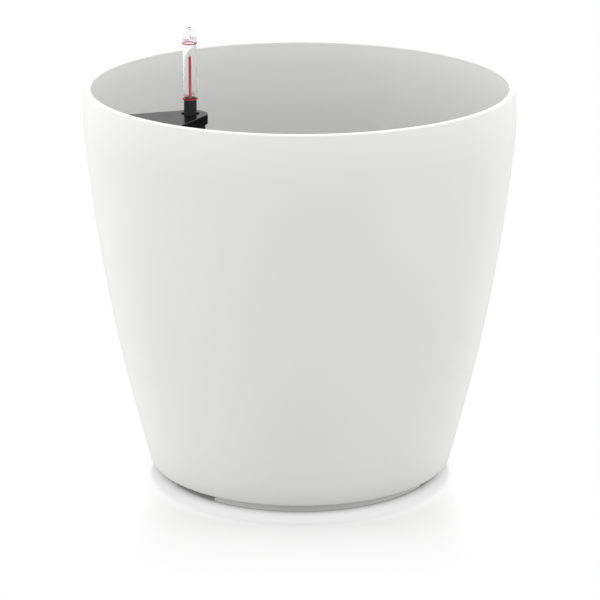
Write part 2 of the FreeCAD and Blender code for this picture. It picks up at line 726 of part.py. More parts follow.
def make_float_and_rod():
    bore = "(rod_radius + press_gap)"
    turned_piece("float", [
        (bore, FLOAT_BOTTOM),
        ("float_radius", FLOAT_BOTTOM),
        ("float_radius", FLOAT_TOP),
        (bore, FLOAT_TOP),
    ])
    clips = {"float_clip_lower": f"({FLOAT_BOTTOM} - clip_thick)", "float_clip_upper": FLOAT_TOP}
    for label, bottom in clips.items():
        turned_piece(label, [
            (bore, bottom),
            ("clip_radius", bottom),
            ("clip_radius", f"{bottom} + clip_thick"),
            (bore, f"{bottom} + clip_thick"),
        ])
    joint = f"({TIP_TOP} - tip_length)"
    turned_piece("float_rod", [
        ("0", f"{FLOAT_BOTTOM} - clip_thick - rod_tail"),
        ("rod_radius", f"{FLOAT_BOTTOM} - clip_thick - rod_tail"),
        ("rod_radius", joint),
        ("pin_radius", joint),
        ("pin_radius", f"{joint} + pin_length"),
        ("0", f"{joint} + pin_length"),
    ])
    turned_piece("indicator_tip", [
        ("pin_radius + press_gap", joint),
        ("rod_radius", joint),
        ("rod_radius", f"{TIP_TOP} - rod_radius", "rod_radius", 1),
        ("0", TIP_TOP),
        ("0", f"{joint} + pin_length"),
        ("pin_radius + press_gap", f"{joint} + pin_length"),
    ])


make_planter_shell()
make_drain_plug()
make_drain_plug_seal()
make_separator_plate()
make_wick_legs()
make_supply_shaft()
make_shaft_cap()
make_gauge_tube()
make_rod_guide_bush()
make_sight_tube()
make_mark_rings()
make_float_cage()
make_cage_end_cap()
make_float_and_rod()

doc.recompute()
for item in doc.Objects:
    if any(word in item.State for word in ("Invalid", "Error")):
        raise RuntimeError(f"{item.Label} failed: {item.State}")
for node in NODES:
    if node.Shape.isNull() or not node.Shape.isValid():
        raise RuntimeError(f"{node.Label} has no valid shape")

os.makedirs("parts", exist_ok=True)
for node in NODES:
    node.Shape.exportStep(f"parts/{node.Label}.step")
    box = node.Shape.BoundBox
    print(f"{node.Label:18s} solids {len(node.Shape.Solids)}  volume {node.Shape.Volume / 1000:9.2f} cm3"
          f"  z {box.ZMin:7.2f} to {box.ZMax:7.2f}")
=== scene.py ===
# %% [markdown]
# # A self-watering planter
#
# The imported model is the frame: every piece below goes where its CAD node is, in metres,
# and rides on the same body, so the cap, the gauge, the float, the shaft, the separator
# and the drain plug keep moving as they do in the real planter.
# Most CAD shapes are right as they are. They are copied, welded and shaded smooth, and
# the copy replaces the node. The large glossy pot and the clear sight tube are turned
# afresh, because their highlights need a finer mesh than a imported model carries.

# %% Load the frame
import json
import math

import bmesh
import bpy
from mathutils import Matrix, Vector


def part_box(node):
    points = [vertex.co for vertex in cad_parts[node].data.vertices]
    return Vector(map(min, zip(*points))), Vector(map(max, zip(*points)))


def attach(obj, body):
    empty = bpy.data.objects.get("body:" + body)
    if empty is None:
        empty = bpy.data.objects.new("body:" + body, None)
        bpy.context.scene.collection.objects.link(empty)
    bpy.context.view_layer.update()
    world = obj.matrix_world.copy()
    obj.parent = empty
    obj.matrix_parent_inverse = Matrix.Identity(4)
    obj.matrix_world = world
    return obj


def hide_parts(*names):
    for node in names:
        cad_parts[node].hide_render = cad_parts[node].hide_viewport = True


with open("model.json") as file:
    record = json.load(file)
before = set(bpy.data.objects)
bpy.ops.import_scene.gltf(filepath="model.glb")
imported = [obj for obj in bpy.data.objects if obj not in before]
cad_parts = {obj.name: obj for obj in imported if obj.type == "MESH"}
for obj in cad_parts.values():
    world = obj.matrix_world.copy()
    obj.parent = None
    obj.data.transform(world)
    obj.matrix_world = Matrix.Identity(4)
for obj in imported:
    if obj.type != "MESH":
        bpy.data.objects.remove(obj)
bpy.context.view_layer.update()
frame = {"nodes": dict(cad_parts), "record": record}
MM = 0.001

# %% [markdown]
# ## Camera
#
# The planter is seen from the front and from about 17 degrees above, from two metres
# away with a long lens, so that its sides hardly converge. The camera could be aimed by a
# constraint, but two angles and a distance say the same and can be read. It sits on a
# circle about a point on the pot's axis and looks a little under it.

# %% Camera
CAMERA_TARGET = 0.160           # height of the circle's centre on the pot's axis
CAMERA_DISTANCE = 2.175
CAMERA_RISE = 0.29463           # radians above the horizon
CAMERA_DIP = 0.30282            # radians that the lens looks down
LENS_MM = 158.06
SENSOR_MM = 36
VIEW_END = 50                   # nothing farther than this is drawn

camera_data = bpy.data.cameras.new("camera")
camera_data.sensor_width = SENSOR_MM
camera_data.lens = LENS_MM
camera_data.clip_end = VIEW_END
camera = bpy.data.objects.new("camera", camera_data)
camera.location = (0, -CAMERA_DISTANCE * math.cos(CAMERA_RISE),
                   CAMERA_TARGET + CAMERA_DISTANCE * math.sin(CAMERA_RISE))
camera.rotation_euler = (math.pi / 2 - CAMERA_DIP, 0, 0)
bpy.context.scene.collection.objects.link(camera)
bpy.context.scene.camera = camera
print("camera stands at", [round(value, 3) for value in camera.location])

# %% [markdown]
# ## Colour and node helpers
#
# Colours are written as sRGB hex, the way a colour card gives them, and turned to the
# linear values that a shader needs. One function adds any node with its settings and
# links.

# %% Helpers for materials


def linear(hex_colour):
    """Linear RGBA from an sRGB hex colour such as F2F2F0."""
    channels = [int(hex_colour[place:place + 2], 16) / 255 for place in (0, 2, 4)]
    return [c / 12.92 if c <= 0.04045 else ((c + 0.055) / 1.055) ** 2.4 for c in channels] + [1]


def add_node(tree, kind, settings=None, links=None):
    """Add a node; settings give its properties or inputs, links give inputs and what feeds them."""
    node = tree.nodes.new(kind)
    for name, value in (settings or {}).items():
        if isinstance(name, int) or name in node.inputs:
            node.inputs[name].default_value = value
        else:
            setattr(node, name, value)
    for name, source in (links or {}).items():
        tree.links.new(source, node.inputs[name])
    return node


def new_material(name, colour, **settings):
    """Material with a Principled shader; returns it, its tree and the shader."""
    material = bpy.data.materials.new(name)
    material.use_nodes = True
    tree = material.node_tree
    shader = tree.nodes["Principled BSDF"]
    shader.inputs["Base Color"].default_value = linear(colour)
    for key, value in settings.items():
        shader.inputs[key.replace("_", " ").title().replace("Ior", "IOR")].default_value = value
    material.diffuse_color = linear(colour)
    return material, tree, shader


print("mid grey 808080 is", round(linear("808080")[0], 3), "in linear light")

# %% [markdown]
# ## Grain, drift and tint
#
# No moulding is perfectly even. Three helpers give a material that life: grain raises a
# fine noise bump, vary lets a value such as roughness drift over patches of a stated
# size, and tint does the same to the colour. A picture could carry all three, but a noise
# never repeats or blurs. They read Object coordinates, metres on the piece itself, so a
# pattern has its real size and rides along when the piece moves.

# %% Grain, drift and tint
NOISE_LOW, NOISE_HIGH = 0.3, 0.7            # a noise seldom leaves this span
TINT_LOW, TINT_HIGH = 0.35, 0.65            # the narrower span over which a tint changes


def per_metre(size_mm):
    """Texture scale whose features are about this many millimetres across."""
    return 1 / (size_mm * MM)


def noise(tree, size_mm, detail):
    """Output of a noise whose patches are about this size on the piece."""
    place = add_node(tree, "ShaderNodeTexCoord")
    return add_node(tree, "ShaderNodeTexNoise", {"Scale": per_metre(size_mm), "Detail": detail},
                    {"Vector": place.outputs["Object"]}).outputs["Fac"]


def bump(tree, shader, height, depth_mm):
    """Raise and lower the surface by this depth where a pattern's height is high or low."""
    relief = add_node(tree, "ShaderNodeBump", {"Distance": depth_mm * MM}, {"Height": height})
    tree.links.new(relief.outputs["Normal"], shader.inputs["Normal"])


def grain(tree, shader, size_mm, depth_mm, detail=2.0):
    """Fine moulded grain: a noise bump of this size and depth."""
    bump(tree, shader, noise(tree, size_mm, detail), depth_mm)


def vary(tree, shader, name, low, high, size_mm, detail=3.0):
    """Let a socket such as Roughness drift between two values over patches of this size."""
    spread = add_node(tree, "ShaderNodeMapRange",
                      {"From Min": NOISE_LOW, "From Max": NOISE_HIGH, "To Min": low, "To Max": high},
                      {"Value": noise(tree, size_mm, detail)})
    tree.links.new(spread.outputs["Result"], shader.inputs[name])


def ramp_colours(tree, shader, value, dark, light, low=0.0, high=1.0):
    """Base colour that goes from dark to light while a value goes from low to high."""
    ramp = add_node(tree, "ShaderNodeValToRGB", links={"Fac": value})
    for stop, place, colour in zip(ramp.color_ramp.elements, (low, high), (dark, light)):
        stop.position = place
        stop.color = linear(colour)
    tree.links.new(ramp.outputs["Color"], shader.inputs["Base Color"])


def tint(tree, shader, dark, light, size_mm, detail=3.0):
    """Let the base colour drift between two colours over patches of this size."""
    ramp_colours(tree, shader, noise(tree, size_mm, detail), dark, light, TINT_LOW, TINT_HIGH)


print("a 12 mm patch has texture scale", round(per_metre(12), 1))

# %% [markdown]
# ## White plastic
#
# The pot is injection-moulded polypropylene with a white high-gloss finish. It is even
# in colour; what gives it away as plastic is the faint orange peel in its gloss and the
# soft drift of roughness where the mould was polished by hand.
# The mould's core is less polished than its cavity, so the inside is a satin of the same
# plastic. Its colour is painted greyer low down and palest at the rim: painted shade that
# deepens the inside of the pot.

# %% White plastic
PEEL_SIZE, PEEL_DEPTH = 2.4, 0.001      # orange peel, in millimetres
DRIFT_SIZE = 60                         # patches of hand polish, in millimetres

white_gloss, tree, shader = new_material("moulded_polypropylene_white_gloss", "EFEFED",
                                         roughness=0.3, ior=1.49)
shader.inputs["Coat Weight"].default_value = 0.3
shader.inputs["Coat Roughness"].default_value = 0.12
tint(tree, shader, "EEEEEC", "F0F0EE", 90, 0.0)
vary(tree, shader, "Roughness", 0.28, 0.32, DRIFT_SIZE, 0.0)
grain(tree, shader, PEEL_SIZE, PEEL_DEPTH, 0.0)
print(white_gloss.name, "has", len(tree.nodes), "nodes")

# %% White satin with painted shade
SHADE_DEEP_LEVEL, SHADE_END_LEVEL = 0.257, 0.318     # heights between which the painted shade fades to the rim's pale colour
SHADE_FADE_POWER = 2.0                             # and most of the painted shade's fading near the upper one

satin_with_painted_shade, tree, shader = new_material("moulded_polypropylene_white_satin_painted_shade", "EFEFED",
                                         roughness=0.4, ior=1.49)
place = add_node(tree, "ShaderNodeTexCoord")
sides = add_node(tree, "ShaderNodeSeparateXYZ", links={0: place.outputs["Object"]})
height = add_node(tree, "ShaderNodeMapRange", {"From Min": SHADE_DEEP_LEVEL, "From Max": SHADE_END_LEVEL},
                  {"Value": sides.outputs["Z"]})
shade_fade = add_node(tree, "ShaderNodeMath", {"operation": "POWER", 1: SHADE_FADE_POWER},
                     {0: height.outputs["Result"]})
# painted shade: the inside's colour is darker low down and palest at the rim
ramp_colours(tree, shader, shade_fade.outputs[0], "DEDEDC", "FBFBF9")
vary(tree, shader, "Roughness", 0.36, 0.44, DRIFT_SIZE, 0.0)
grain(tree, shader, PEEL_SIZE, PEEL_DEPTH, 0.0)
print(satin_with_painted_shade.name, "has", len(tree.nodes), "nodes")

# %% [markdown]
# ## Black plastics
#
# The shaft is a plain black polypropylene with the matt grain of a spark-eroded mould,
# and the separator, its legs and the drain plug are the same in anthracite. The cap comes
# from a mould that was polished on top, so it mirrors the gauge that stands in it; its
# skirt is matt, and its colour there is painted darker still as painted shade. A low
# specular level keeps the white surroundings from greying them. They differ in colour,
# gloss and grain only, so one function makes each.

# %% Black plastics
SPARK_GRAIN = 0.7, 0.03     # size and depth in millimetres, drawn at 0.7 mm so that it shows


def black_plastic(name, dark, light, gloss, roughness, patch_mm, drift, grain_mm):
    """Moulded black: its two tints, specular level, roughness drift and grain."""
    material, tree, shader = new_material(name, dark, roughness=sum(roughness) / 2, ior=1.49)
    shader.inputs["Specular IOR Level"].default_value = gloss
    tint(tree, shader, dark, light, patch_mm)
    vary(tree, shader, "Roughness", *roughness, *drift)
    grain(tree, shader, *grain_mm)
    return material


black_grained = black_plastic("moulded_polypropylene_black", "0C0C0D", "121213", 0.12,
                              (0.42, 0.56), 25, (12, 3.0), SPARK_GRAIN)
anthracite = black_plastic("moulded_polypropylene_anthracite", "323335", "3E3F42", 0.3,
                           (0.42, 0.56), 25, (12, 3.0), SPARK_GRAIN)
# darker than the other blacks; on the cap's skirt this darker colour is painted shade
black_matt = black_plastic("matt_polypropylene_black", "070708", "0D0D0E", 0.04,
                           (0.52, 0.66), 25, (12, 3.0), SPARK_GRAIN)
black_polished = black_plastic("polished_polypropylene_black", "101011", "161617", 0.12,
                               (0.19, 0.25), 30, (9, 1.0), (3.0, 0.003, 1.0))
print("black plastics:", black_grained.name, anthracite.name, black_matt.name, black_polished.name)

# %% [markdown]
# ## Tube, bush and rods
#
# The gauge's black tube is extruded polystyrene, which keeps fine lines along its length
# from the die. They are a noise stretched fifty times along the tube. The bush at its top
# is turned acetal, dull and black. The rod is a white extrusion with a red end.

# %% Tube, bush and rods
DIE_LINE, DIE_LINE_DEPTH = 0.6, 0.015       # millimetres
DIE_LINE_STRETCH = 0.02

black_tube, tree, shader = new_material("extruded_polystyrene_black", "2F3031", roughness=0.38, ior=1.55)
shader.inputs["Specular IOR Level"].default_value = 0.1
vary(tree, shader, "Roughness", 0.32, 0.45, 6)
place = add_node(tree, "ShaderNodeTexCoord")
stretch = add_node(tree, "ShaderNodeMapping", {"Scale": (1, 1, DIE_LINE_STRETCH)},
                   {"Vector": place.outputs["Object"]})
lines = add_node(tree, "ShaderNodeTexNoise", {"Scale": per_metre(DIE_LINE), "Detail": 2.0},
                 {"Vector": stretch.outputs["Vector"]})
bump(tree, shader, lines.outputs["Fac"], DIE_LINE_DEPTH)

black_acetal, tree, shader = new_material("turned_acetal_black", "0E0E0F", roughness=0.5, ior=1.48)
shader.inputs["Specular IOR Level"].default_value = 0.05
tint(tree, shader, "060607", "0C0C0D", 3)
grain(tree, shader, 0.5, 0.005)

white_rod, tree, shader = new_material("extruded_polystyrene_white", "E9E9E6", roughness=0.3, ior=1.55)
tint(tree, shader, "E2E2DE", "EFEFEC", 8)
grain(tree, shader, 0.8, 0.004)

red_rod, tree, shader = new_material("moulded_polystyrene_red", "DC0428", roughness=0.3, ior=1.55)
shader.inputs["Specular IOR Level"].default_value = 0.05
tint(tree, shader, "D00020", "E6042A", 6)
grain(tree, shader, 0.8, 0.004)
print("gauge materials:", black_tube.name, black_acetal.name, white_rod.name, red_rod.name)

# %% [markdown]
# ## Print, foam, steel and rubber
#
# The red bands and numbers on the sight tube are screen-printed ink, thin enough that
# its cover varies a little and some light comes through. The float is closed-cell foam,
# dull and pebbled by its cells, which are a Voronoi bump. The nuts that hold it are spring
# steel with an uneven shine, the drain seal is a dull moulded rubber washer, and the sight
# tube is clear moulded polystyrene, all but smooth.

# %% Small materials
CELL_SIZE, CELL_DEPTH = 1.1, 0.15           # the foam's cells, in millimetres

red_ink, tree, shader = new_material("screen_printed_ink_red", "A80C2C", roughness=0.45, ior=1.5)
shader.inputs["Specular IOR Level"].default_value = 0.2
shader.inputs["Subsurface Weight"].default_value = 0.7
shader.inputs["Subsurface Scale"].default_value = 0.4 * MM
tint(tree, shader, "B00A26", "C81032", 1.2)
grain(tree, shader, 0.25, 0.01)

white_foam, tree, shader = new_material("closed_cell_foam_white", "E8E7E1", roughness=0.8, ior=1.45)
place = add_node(tree, "ShaderNodeTexCoord")
cells = add_node(tree, "ShaderNodeTexVoronoi", {"Scale": per_metre(CELL_SIZE)},
                 {"Vector": place.outputs["Object"]})
bump(tree, shader, cells.outputs["Distance"], CELL_DEPTH)
tint(tree, shader, "DFDED7", "EEEDE8", 2.5)

spring_steel, tree, shader = new_material("spring_steel", "8E8F92", roughness=0.3, metallic=1.0)
vary(tree, shader, "Roughness", 0.22, 0.4, 1.5)
grain(tree, shader, 0.3, 0.005)

black_rubber, tree, shader = new_material("moulded_rubber_black", "161616", roughness=0.75, ior=1.52)
tint(tree, shader, "121212", "1C1C1C", 3)
grain(tree, shader, 0.5, 0.02)

clear_polystyrene, tree, shader = new_material("clear_polystyrene", "FBFCFC", roughness=0.0, ior=1.5)
shader.inputs["Transmission Weight"].default_value = 1.0
vary(tree, shader, "Roughness", 0.0, 0.01, 5)
print("materials:", len(bpy.data.materials))

# %% [markdown]
# ## Finishing a mesh
#
# A turned or copied mesh becomes a piece in one place: doubles are merged, faces are
# shaded smooth, and an edge that bends more than 30 degrees stays crisp, as a moulded
# edge does. A copy of a CAD node also gets weighted normals, so that its flat faces stay
# flat beside their rounds. Bevelling every edge would do that too, but it would change
# the sizes that the frame holds.

# %% Finish a piece
CRISP_BEND = math.radians(30)
LEAN = 0.3          # a face looks a way when its normal leans more than this towards it
WELD = 0.002 * MM   # corners nearer than this are one


def finish_piece(name, mesh, body, nodes, finishes, turn_outward=True):
    """Turn a bmesh into a piece that rides on a body and stands for CAD nodes."""
    bmesh.ops.remove_doubles(mesh, verts=mesh.verts, dist=WELD)
    if turn_outward:
        bmesh.ops.recalc_face_normals(mesh, faces=mesh.faces)
    for face in mesh.faces:
        face.smooth = True
    for edge in mesh.edges:
        edge.smooth = len(edge.link_faces) == 2 and edge.calc_face_angle(0) < CRISP_BEND
    data = bpy.data.meshes.new(name)
    mesh.to_mesh(data)
    mesh.free()
    for finish in finishes:
        data.materials.append(finish)
    piece = bpy.data.objects.new(name, data)
    bpy.context.scene.collection.objects.link(piece)
    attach(piece, body)
    if nodes:
        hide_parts(*nodes)
    print(f"{name}: {len(data.polygons)} faces")
    return piece


BODY_OF = {node: body for body, nodes in frame["record"]["behaviour"]["bodies"].items() for node in nodes}
SLOT_OF = {entry["node"]: entry["material_slot"] for entry in frame["record"]["subparts"]}


def welded_copy(node, name, finishes):
    """Smooth copy of a CAD node, which it replaces; a second finish goes where it doesn't look up."""
    mesh = bmesh.new()
    mesh.from_mesh(frame["nodes"][node].data)
    bmesh.ops.remove_doubles(mesh, verts=mesh.verts, dist=WELD)
    for face in mesh.faces:
        face.material_index = len(finishes) - 1 if face.normal.z < LEAN else 0
    piece = finish_piece(name, mesh, BODY_OF[node], [node], finishes, turn_outward=False)
    weights = piece.modifiers.new("flat_faces_lead", "WEIGHTED_NORMAL")
    weights.keep_sharp = True
    return piece


print("material slots:", sorted(set(SLOT_OF.values())))

# %% [markdown]
# ## The pot
#
# The pot's outside is two arcs that meet smoothly: a long one up the flank and a short
# one over the shoulder, drawn in a little again at the rim. The inside is the same two
# arcs, set in by the wall. A lathe curve could carry the shape, but a walked outline has
# exact radii and closes on itself, so the wall is one solid skin. It is walked once from
# the drain hole round to the boss and spun about the pot's axis.

# %% Pot sizes
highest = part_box("planter_shell")[1]
WIDEST = highest.x
POT_HEIGHT = highest.z
SHOULDER_DROP = 26 * MM
SHOULDER_ARC = 170 * MM
SHOULDER_TURN = math.radians(4.9)
FLANK_ARC = 1546 * MM
WALL = 4.5 * MM
FLOOR_THICK = 4 * MM
FOOT_HEIGHT = 7.5 * MM
FOOT_INSET = 9.7 * MM
FOOT_THICK = 3 * MM
NOTCH_WIDTH = 50 * MM
BOSS_RADIUS = 14 * MM
BOSS_RISE = 6 * MM
DRAIN_RADIUS = 8.25 * MM
SHAFT_AZIMUTH = math.radians(-139.2)
EDGE_ROUND, RIM_ROUND, CORNER_ROUND = 2 * MM, 1.5 * MM, 2.5 * MM
print("pot is", round(2 * WIDEST, 3), "wide and", round(POT_HEIGHT, 3), "high, metres")

# %% Arcs of the wall
FLANK_STEPS, SHOULDER_STEPS = 40, 18
SHOULDER_CENTRE = Vector((WIDEST - SHOULDER_ARC, 0, POT_HEIGHT - SHOULDER_DROP))
MEETING = Vector((math.cos(SHOULDER_TURN), 0, -math.sin(SHOULDER_TURN)))    # where the arcs meet
FLANK_CENTRE = SHOULDER_CENTRE - (FLANK_ARC - SHOULDER_ARC) * MEETING


def flank_radius(level):
    """Radius of the pot's outside at a level on its flank."""
    return FLANK_CENTRE.x + math.sqrt(FLANK_ARC ** 2 - (level - FLANK_CENTRE.z) ** 2)


def arc_points(centre, radius, start, stop, steps):
    """Points along an arc in the XZ plane, angles from +X towards +Z."""
    angles = [start + (stop - start) * step / steps for step in range(steps + 1)]
    return [centre + radius * Vector((math.cos(angle), 0, math.sin(angle))) for angle in angles]


def wall_points(inset, bottom, top):
    """The wall's two arcs from a level at its foot up to a level at the rim."""
    flank_start = math.asin((bottom - FLANK_CENTRE.z) / (FLANK_ARC - inset))
    shoulder_stop = math.asin((top - SHOULDER_CENTRE.z) / (SHOULDER_ARC - inset))
    flank = arc_points(FLANK_CENTRE, FLANK_ARC - inset, flank_start, -SHOULDER_TURN, FLANK_STEPS)
    shoulder = arc_points(SHOULDER_CENTRE, SHOULDER_ARC - inset, -SHOULDER_TURN, shoulder_stop,
                          SHOULDER_STEPS)
    return flank + shoulder[1:]


print("radius at the lower edge, metres:", round(flank_radius(FOOT_HEIGHT), 4))

# %% Walk the outline
foot_radius = flank_radius(FOOT_HEIGHT) - FOOT_INSET
floor_top = FOOT_HEIGHT + FLOOR_THICK
boss_top = floor_top + BOSS_RISE
outside = wall_points(0, FOOT_HEIGHT, POT_HEIGHT)
inside = wall_points(WALL, floor_top, POT_HEIGHT)[::-1]
foot = [(DRAIN_RADIUS, FOOT_HEIGHT), (foot_radius - FOOT_THICK, FOOT_HEIGHT), (foot_radius - FOOT_THICK, 0),
        (foot_radius, 0), (foot_radius, FOOT_HEIGHT)]
boss = [(BOSS_RADIUS, floor_top), (BOSS_RADIUS, boss_top), (DRAIN_RADIUS, boss_top)]
outline = [Vector((x, 0, z)) for x, z in foot] + outside + inside
outline += [Vector((x, 0, z)) for x, z in boss]
lower_edge = len(foot)
rim = lower_edge + len(outside) - 1
floor_corner = rim + len(inside)
print("outline has", len(outline), "points; rim is", round((outside[-1].x - inside[0].x) / MM, 2), "mm wide")

# %% [markdown]
# ## Rounds and the spin
#
# The pot's lower edge, the rim's two edges and the floor's corner each have the round that
# they have on the mould. A bevel after the spin could round them, but the outline is
# rounded first, so that each round has its exact radius and a point beside it to hold the
# shading. The whole is then spun in 192 steps, few enough to stay light and enough for a
# clean silhouette.

# %% Turn the pot
SUPPORT = 1.3           # a point this much past each end of a round keeps the flat beside it flat
SPIN_STEPS = 192
SEAM = 0.001 * MM       # corners nearer than this along a spin's seam are one


def rounded(points, rounds, steps=5):
    """Outline with the corners at some places rounded; rounds maps a place in the list to a radius."""
    result = []
    for place, corner in enumerate(points):
        if place not in rounds:
            result.append(corner)
            continue
        before = (points[place - 1] - corner).normalized()
        after = (points[(place + 1) % len(points)] - corner).normalized()
        half = before.angle(after) / 2
        centre = corner + (before + after).normalized() * rounds[place] / math.sin(half)
        reach = rounds[place] / math.tan(half)
        first = (corner + before * reach - centre).normalized()
        last = (corner + after * reach - centre).normalized()
        result.append(corner + before * reach * SUPPORT)
        for step in range(steps + 1):
            result.append(centre + rounds[place] * first.slerp(last, step / steps))
        result.append(corner + after * reach * SUPPORT)
    return result


def spun(points, steps, axis_x=0.0, axis_y=0.0):
    """Turn a closed outline in the XZ plane about an upright axis at this place."""
    mesh = bmesh.new()
    corners = [mesh.verts.new(point) for point in points]
    edges = [mesh.edges.new(pair) for pair in zip(corners, corners[1:] + corners[:1])]
    bmesh.ops.spin(mesh, geom=corners + edges, cent=(0, 0, 0), axis=(0, 0, 1), angle=2 * math.pi,
                   steps=steps, use_merge=True)
    bmesh.ops.remove_doubles(mesh, verts=mesh.verts, dist=SEAM)
    bmesh.ops.translate(mesh, verts=mesh.verts, vec=(axis_x, axis_y, 0))
    return mesh


rounds = {lower_edge: EDGE_ROUND, rim: RIM_ROUND, rim + 1: RIM_ROUND, floor_corner: CORNER_ROUND}
pot = spun(rounded(outline, rounds), SPIN_STEPS)
print("turned pot has", len(pot.faces), "faces")

# %% [markdown]
# ## Gaps in the foot ring
#
# The foot ring stands on three arcs, with a gap between each, so that drained water runs
# out from under the pot. A boolean with three boxes would cut them too, but it leaves long
# thin triangles under the floor. Here two planes per gap cut the ring square; the faces
# between them are deleted, the strip under the floor is bridged and the cut ends filled.

# %% Cut the gaps
ABOUT = 0.5 * MM        # how far off the foot ring a face's centre may seem to lie
HAIR = 0.01 * MM        # the least that counts as under the pot's lower edge
ON_PLANE = 0.0001 * MM  # a corner nearer to a cutting plane than this lies on it
NOTCH_TURNS = [SHAFT_AZIMUTH + turn * 2 * math.pi / 3 for turn in range(3)]


def foot_faces(mesh, along, across):
    """The foot ring's faces that lie inside one gap."""
    found = []
    for face in mesh.faces:
        centre = face.calc_center_median()
        near_foot = foot_radius - FOOT_THICK - ABOUT < centre.xy.length < foot_radius + ABOUT
        in_gap = abs(centre.dot(across)) < NOTCH_WIDTH / 2 and centre.dot(along) > 0
        if near_foot and in_gap and centre.z < FOOT_HEIGHT - HAIR:
            found.append(face)
    return found


for turn in NOTCH_TURNS:
    along = Vector((math.cos(turn), math.sin(turn), 0))
    across = Vector((-math.sin(turn), math.cos(turn), 0))
    for side in (-1, 1):
        reach = [f for f in pot.faces if f.calc_center_median().z < FOOT_HEIGHT - HAIR
                 and f.calc_center_median().dot(along) > 0]
        geometry = set(reach)
        for face in reach:
            geometry.update(face.edges)
            geometry.update(face.verts)
        bmesh.ops.bisect_plane(pot, geom=list(geometry), dist=ON_PLANE,
                               plane_co=across * side * NOTCH_WIDTH / 2, plane_no=across)
    bmesh.ops.delete(pot, geom=foot_faces(pot, along, across), context="FACES")
    open_edges = [edge for edge in pot.edges if edge.is_boundary]
    arcs = [edge for edge in open_edges if all(v.co.z > FOOT_HEIGHT - HAIR for v in edge.verts)]
    bmesh.ops.bridge_loops(pot, edges=arcs)
    bmesh.ops.holes_fill(pot, edges=[edge for edge in pot.edges if edge.is_boundary], sides=0)
print("open edges left in the pot:", sum(edge.is_boundary for edge in pot.edges))

# %% [markdown]
# The pot is glossy outside and satin inside. The faces above the floor that look towards
# the axis take the satin finish, which also carries the painted shade of the inside.

# %% Two finishes on the pot
bmesh.ops.recalc_face_normals(pot, faces=pot.faces)
for face in pot.faces:
    centre = face.calc_center_median()
    outward = Vector((centre.x, centre.y, 0)).normalized()
    if centre.z > floor_top + CORNER_ROUND and face.normal.dot(outward) < -LEAN:
        face.material_index = 1
finish_piece("pot", pot, "planter", ["planter_shell"], [white_gloss, satin_with_painted_shade])

# %% [markdown]
# ## Sight tube
#
# The clear tube is a thimble with a domed top and a pin-hole for air. It narrows a little
# upwards, the draft that lets it leave its mould. A single skin of glass would look like
# a solid rod of it, so both walls are spun in one closed outline, in 64 steps, and light
# bends through them as it does through the real tube.

# %% Sight tube
tube_low, tube_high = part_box("sight_tube")
GAUGE_X, GAUGE_Y = (tube_low.x + tube_high.x) / 2, (tube_low.y + tube_high.y) / 2
SIGHT_FOOT_RADIUS = (tube_high.x - tube_low.x) / 2
SIGHT_TOP_RADIUS = 5.4 * MM
SIGHT_WALL = 1 * MM
VENT_RADIUS = 0.9 * MM
FOOT_ROUND = 0.3 * MM
DOME_LEAD = 1 * MM          # the straight wall ends this far under the dome
DOME_STEPS = 14
TUBE_STEPS = 64
dome_level = tube_high.z - math.sqrt(SIGHT_TOP_RADIUS ** 2 - VENT_RADIUS ** 2)


def dome(radius):
    """Arc from the tube's side over to the air hole."""
    return arc_points(Vector((0, 0, dome_level)), radius, 0, math.acos(VENT_RADIUS / radius), DOME_STEPS)


def sight_outside(level):
    """Radius of the tube's flank at a level."""
    share = (level - tube_low.z) / (dome_level - tube_low.z)
    return SIGHT_FOOT_RADIUS + (SIGHT_TOP_RADIUS - SIGHT_FOOT_RADIUS) * share


near_dome = dome_level - DOME_LEAD
outer_wall = [Vector((SIGHT_FOOT_RADIUS, 0, tube_low.z)), Vector((sight_outside(near_dome), 0, near_dome))]
outer_wall += dome(SIGHT_TOP_RADIUS)
inner_wall = dome(SIGHT_TOP_RADIUS - SIGHT_WALL)[::-1]
inner_wall += [Vector((sight_outside(near_dome) - SIGHT_WALL, 0, near_dome)),
               Vector((SIGHT_FOOT_RADIUS - SIGHT_WALL, 0, tube_low.z))]
sight = spun(rounded(outer_wall + inner_wall, {0: FOOT_ROUND}, 3), TUBE_STEPS, GAUGE_X, GAUGE_Y)
finish_piece("clear_sight_tube", sight, "gauge", ["sight_tube"], [clear_polystyrene])
print("gauge axis at", round(GAUGE_X, 4), round(GAUGE_Y, 4))

# %% [markdown]
# ## Printed bands and numbers
#
# Two red bands mark the lowest level and the full level, and a number stands over each on
# the near side and again on the far side. They could be colours in the tube's material,
# but ink has an edge and hides what is behind it, so they are thin meshes. A number starts
# as flat text, is made a mesh, and is then rolled round the tube: its run becomes an angle
# and its height stays.

# %% Red bands
BAND_THICK = 0.25 * MM
PRINT_GAP = 0.015 * MM      # keeps the ink clear of the plastic it is printed on
for node in ("low_mark_ring", "full_mark_ring"):
    low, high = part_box(node)
    corners = (low.z, PRINT_GAP), (low.z, BAND_THICK), (high.z, BAND_THICK), (high.z, PRINT_GAP)
    band = [Vector((sight_outside(level) + proud, 0, level)) for level, proud in corners]
    ring = spun(band, TUBE_STEPS, GAUGE_X, GAUGE_Y)
    finish_piece(node.replace("mark_ring", "band"), ring, "gauge", [node], [red_ink])

